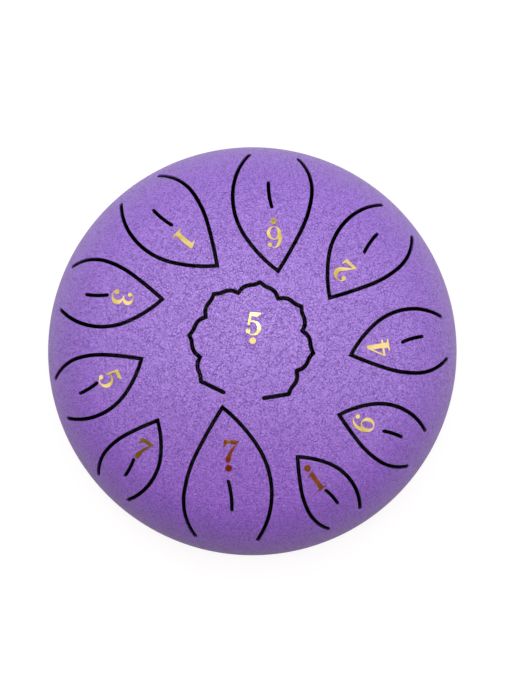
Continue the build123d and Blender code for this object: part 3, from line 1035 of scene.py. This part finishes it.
seam_setback = 0.25 * MM
seam_rounding = 0.25 * MM
seam_unevenness = 0.12 * MM
seam_inner = rim_radius - sheet
seam_outer = rim_radius - seam_setback
seam_bead = new_piece("seam_bead", [], [])
run_tree(make_bead(), seam_bead, ring_radius=(seam_inner + seam_outer) / 2, width=seam_outer - seam_inner,
         height=seam_height, rounding=seam_rounding, unevenness=seam_unevenness, finish=sealant)
seam_bead.data.transform(Matrix.Translation((0, 0, (seam_level + upper_edge) / 2)))
smooth(seam_bead)
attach(seam_bead, "shell")
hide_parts("seam_ring")
print("seam bead: box in mm", in_mm(seam_bead.dimensions, 2))

# %% [markdown]
# ## The feet
# Four rubber feet are pushed into holes of the lower bowl. A foot is a pad with a hollow under it and a
# plug with a bulb that holds it in its hole. One of each is turned on the press.

# %% Pad and plug of a foot
foot_radius = 7 * MM
foot_taper = 0.8 * MM
foot_round = 0.8 * MM
foot_top = 7.6 * MM
foot_gap = 0.5 * MM
base_edge = base_radius * math.sin(base_lean)
foot_ring = base_edge - foot_radius - foot_gap
dimple_radius = 3.4 * MM
dimple_depth = 0.5 * MM
dimple_edge = 0.15 * MM
dimple_edge_rise = 0.06 * MM
pad_points = 64
side_levels = np.linspace(foot_round, foot_top, 16)
pad_section = (
    [(0, dimple_depth), (dimple_radius - dimple_depth, dimple_depth), (dimple_radius, dimple_edge_rise),
     (dimple_radius + dimple_edge, 0)]
    + [(foot_radius - foot_round * (1 - math.sin(turn)), foot_round * (1 - math.cos(turn)))
       for turn in np.linspace(0, math.pi / 2, 7)]
    + [(foot_radius - foot_taper * level / foot_top, level) for level in side_levels[1:]]
    + [(0, foot_top)]
)
plug_level = 3 * MM
plug_radius = 2.6 * MM
bulb_level = 8.2 * MM
bulb_brim = 3.4 * MM
bulb_radius = 3.6 * MM
bulb_brim_rise = 0.3 * MM
bulb_neck = 2.2 * MM
bulb_neck_drop = 0.4 * MM
bulb_tip = 1.6 * MM
bulb_top = 11.3 * MM
plug_points = 48
# distance from the axis and height, from the plug's lower end over the bulb to its top
plug_section = [
    (0, plug_level),
    (plug_radius, plug_level),
    (plug_radius, bulb_level),
    (bulb_brim, bulb_level),
    (bulb_radius, bulb_level + bulb_brim_rise),
    (bulb_neck, bulb_top - bulb_neck_drop),
    (bulb_tip, bulb_top),
    (0, bulb_top),
]
pad = turned("foot_pad", pad_section, pad_points, rubber, closed=False)
plug = turned("foot_plug", plug_section, plug_points, rubber, closed=False)
print("pad and plug:", len(pad.data.polygons), "and", len(plug.data.polygons), "faces")

# %% [markdown]
# A tree puts a copy of the pad and the plug on four points. The pad's top is then pushed down onto the
# bowl's slope, which is why a foot is higher on its outer side.

# %% Place the feet
foot_count = 4


def make_feet():
    """The tree that places the feet and seats them on the lower bowl."""
    pieces = {"Start": "Geometry", "Pad": "Object", "Plug": "Object"}
    sizes = dict.fromkeys(("Ring Radius", "Base Radius", "Base Middle"), "Float")
    tree, given = new_tree("place_feet", {**pieces, **sizes, "Finish": "Material"}, "Feet")
    ring = add_node(tree, "GeometryNodeMeshCircle",
                    {"Vertices": foot_count, "Radius": given["Ring Radius"]})
    turned_ring = add_node(tree, "GeometryNodeTransform",
                           {"Geometry": ring.outputs[0], "Rotation": (0, 0, math.pi / foot_count)})

    def copies(piece):
        """Copies of a piece on the ring's points."""
        source = add_node(tree, "GeometryNodeObjectInfo", {"Object": given[piece]}).outputs["Geometry"]
        placed = add_node(tree, "GeometryNodeInstanceOnPoints",
                          {"Points": turned_ring.outputs[0], "Instance": source})
        return add_node(tree, "GeometryNodeRealizeInstances", {"Geometry": placed.outputs[0]}).outputs[0]

    spot = add_node(tree, "GeometryNodeInputPosition").outputs[0]
    parts = split(tree, spot)
    flat = vector_math(tree, "MULTIPLY", spot, (1, 1, 0))
    square = add_node(tree, "ShaderNodeVectorMath", {0: flat, 1: flat},
                      operation="DOT_PRODUCT").outputs["Value"]
    base_square = math_node(tree, "MULTIPLY", given["Base Radius"], given["Base Radius"])
    drop = math_node(tree, "SQRT", math_node(tree, "SUBTRACT", base_square, square))
    bowl = math_node(tree, "SUBTRACT", given["Base Middle"], drop)
    level = math_node(tree, "MINIMUM", parts["Z"], bowl)
    lowered = add_node(tree, "ShaderNodeCombineXYZ", {"X": parts["X"], "Y": parts["Y"], "Z": level})
    seated = add_node(tree, "GeometryNodeSetPosition",
                      {"Geometry": copies("Pad"), "Position": lowered.outputs[0]})
    both = add_node(tree, "GeometryNodeJoinGeometry")
    for part in (copies("Plug"), seated.outputs[0]):
        tree.links.new(part, both.inputs[0])
    return end_tree(tree, both.outputs[0], given["Finish"], "Feet")


rubber_feet = new_piece("rubber_feet", [], [])
run_tree(make_feet(), rubber_feet, pad=pad, plug=plug, ring_radius=foot_ring, base_radius=base_radius,
         base_middle=base_middle, finish=rubber)
for made in (pad, plug):
    bpy.data.objects.remove(made)
smooth(rubber_feet)
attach(rubber_feet, "shell")
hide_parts("foot_front_right", "foot_back_right", "foot_back_left", "foot_front_left")
print("feet:", len(rubber_feet.data.polygons), "faces, box in mm", in_mm(rubber_feet.dimensions))

# %% [markdown]
# ## Foil numbers
# The CAD already has the shape of the numbers, so its nodes stay and only get the foil. The nodes that
# the pieces above replace get their finishes as well.

# %% Foil on the numbers
node_finishes = {"number": foil, "foot": rubber, "seam": sealant}
for name, node in frame["nodes"].items():
    node.data.materials.clear()
    node.data.materials.append(node_finishes.get(name.split("_")[0], lacquer))
print("numbers:", sum(name.startswith("number") for name in frame["nodes"]))

# %% [markdown]
# ## The stage
# The drum stands on a pale floor that is lifted to white for the camera, but only where it is open to
# the sky, so the shadow under the drum stays. Ambient occlusion tells how open a place is, and a Light
# Path node tells who is looking. Reflections see the lifted floor too. It is weaker there, most of all
# in front of the drum, because a near rim that mirrors pure white looks grey.

# %% Floor
floor_lift = 0.82
floor_half = 8.0
floor_corners = [(-1, -1), (1, -1), (1, 1), (-1, 1)]
shade_reach = 0.15
# painted shadow: the floor's own colour where it is hidden under the drum
painted_shadow_grey = (0.02, 0.02, 0.02, 1)
open_grey = (0.24, 0.24, 0.24, 1)


def pale_floor():
    """A floor that is white for the camera, keeps the drum's shadow and is painted dark where it is hidden.
    """
    finish, tree, shader = new_finish("pale_floor")
    rays = add_node(tree, "ShaderNodeLightPath").outputs
    sky = add_node(tree, "ShaderNodeAmbientOcclusion", {"Distance": shade_reach}).outputs["AO"]
    open_share = map_range(tree, sky, (0.15, 0.6), (0.0, 1.0))
    back = split(tree, object_place(tree))["Y"]
    mirrored_share = math_node(tree, "MULTIPLY", map_range(tree, sky, (0.55, 1.0), (0.0, 1.0)),
                               map_range(tree, back, (-0.2, 0.05), (0.2, 0.9)))
    direct = math_node(tree, "MAXIMUM", rays["Is Camera Ray"], rays["Is Transmission Ray"])
    seen = math_node(tree, "MAXIMUM", math_node(tree, "MULTIPLY", direct, open_share),
                     math_node(tree, "MULTIPLY", rays["Is Glossy Ray"], mirrored_share))
    set_sockets(tree, shader, {
        # painted shadow: the colour goes nearly black where the floor is hidden
        "Base Color": blend_colour(tree, open_share, painted_shadow_grey, open_grey),
        "Roughness": 0.9,
        "Emission Color": (1, 1, 1, 1),
        "Emission Strength": math_node(tree, "MULTIPLY", seen, floor_lift),
    })
    return finish


floor_mesh = bpy.data.meshes.new("floor")
floor_mesh.from_pydata([(x * floor_half, y * floor_half, 0) for x, y in floor_corners], [], [(0, 1, 2, 3)])
floor_mesh.materials.append(pale_floor())
floor = add_to_scene("floor", floor_mesh)
print("floor:", 2 * floor_half, "m wide")

# %% [markdown]
# A wide soft box over the drum gives most of the light, and a small bright one gives the crown its sheen
# and the middle number its flash. The room is pale, apart from its near side. High up there is a warm
# wall, ochre on the left, red in the middle and orange on the right, which the near numbers mirror.
# Below it the near side is a dim violet, which keeps the near shoulder deep in colour.

# %% Light
pale_room = (0.88, 0.88, 0.89, 1)
dim_violet = (0.15, 0.11, 0.34, 1)
warm_wall = ((0.1, (0.42, 0.3, 0.05)), (0.5, (0.42, 0.04, 0.03)), (0.9, (0.44, 0.17, 0.06)))


def studio_room():
    """A pale room with a warm wall and a dim violet below it on the near side."""
    world = bpy.data.worlds.new("studio")
    world.use_nodes = True
    tree = world.node_tree
    way = split(tree, add_node(tree, "ShaderNodeTexCoord").outputs["Generated"])
    near = map_range(tree, way["Y"], (-0.25, -0.4), (0.0, 1.0))
    wall = ramp(tree, map_range(tree, way["X"], (-0.45, 0.45), (0.0, 1.0)), warm_wall)
    high = map_range(tree, way["Z"], (0.42, 0.52), (0.0, 1.0))
    near_side = blend_colour(tree, high, dim_violet, wall)
    set_sockets(tree, tree.nodes["Background"], {"Color": blend_colour(tree, near, pale_room, near_side)})
    return world


def soft_box(name, middle, width, length, brightness):
    """A rectangular lamp that faces straight down, with a brightness for its area."""
    lamp = bpy.data.lights.new(name, "AREA")
    lamp.shape = "RECTANGLE"
    lamp.size, lamp.size_y = width, length
    lamp.energy = brightness * math.pi * width * length
    light = add_to_scene(name, lamp)
    light.location = middle
    return light


bpy.context.scene.world = studio_room()
overhead = soft_box("overhead", (0, 0.25, 1.3), 2.6, 1.5, 1.08)
spark = soft_box("spark", (-0.05, 0.29, 1.25), 0.25, 0.2, 6.5)
print("lamps: %.1f W and %.2f W" % (overhead.data.energy, spark.data.energy))

# %% [markdown]
# The camera looks down from almost straight above through a long lens, and is turned a little. Its
# place, aim and turn were fitted until the rim and the slots lay where the photograph has them.

# %% Camera
camera_data = bpy.data.cameras.new("camera")
camera_data.lens = 103.2
camera_data.clip_start = 0.01
camera_data.clip_end = 100
camera = add_to_scene("camera", camera_data)
camera_spot = Vector((14.24, -44.62, 791.0)) * MM
camera_aim = Vector((1.714, 3.011, 42.63)) * MM
upwards = Vector((-0.1426, 0.9898, 0))
backwards = (camera_spot - camera_aim).normalized()
rightwards = upwards.cross(backwards).normalized()
upwards = backwards.cross(rightwards)
camera_turn = Matrix((rightwards, upwards, backwards)).transposed().to_4x4()
camera.matrix_world = Matrix.Translation(camera_spot) @ camera_turn
bpy.context.scene.camera = camera
bpy.context.scene.view_settings.view_transform = "Standard"
print("camera at", [round(v, 4) for v in camera_spot])
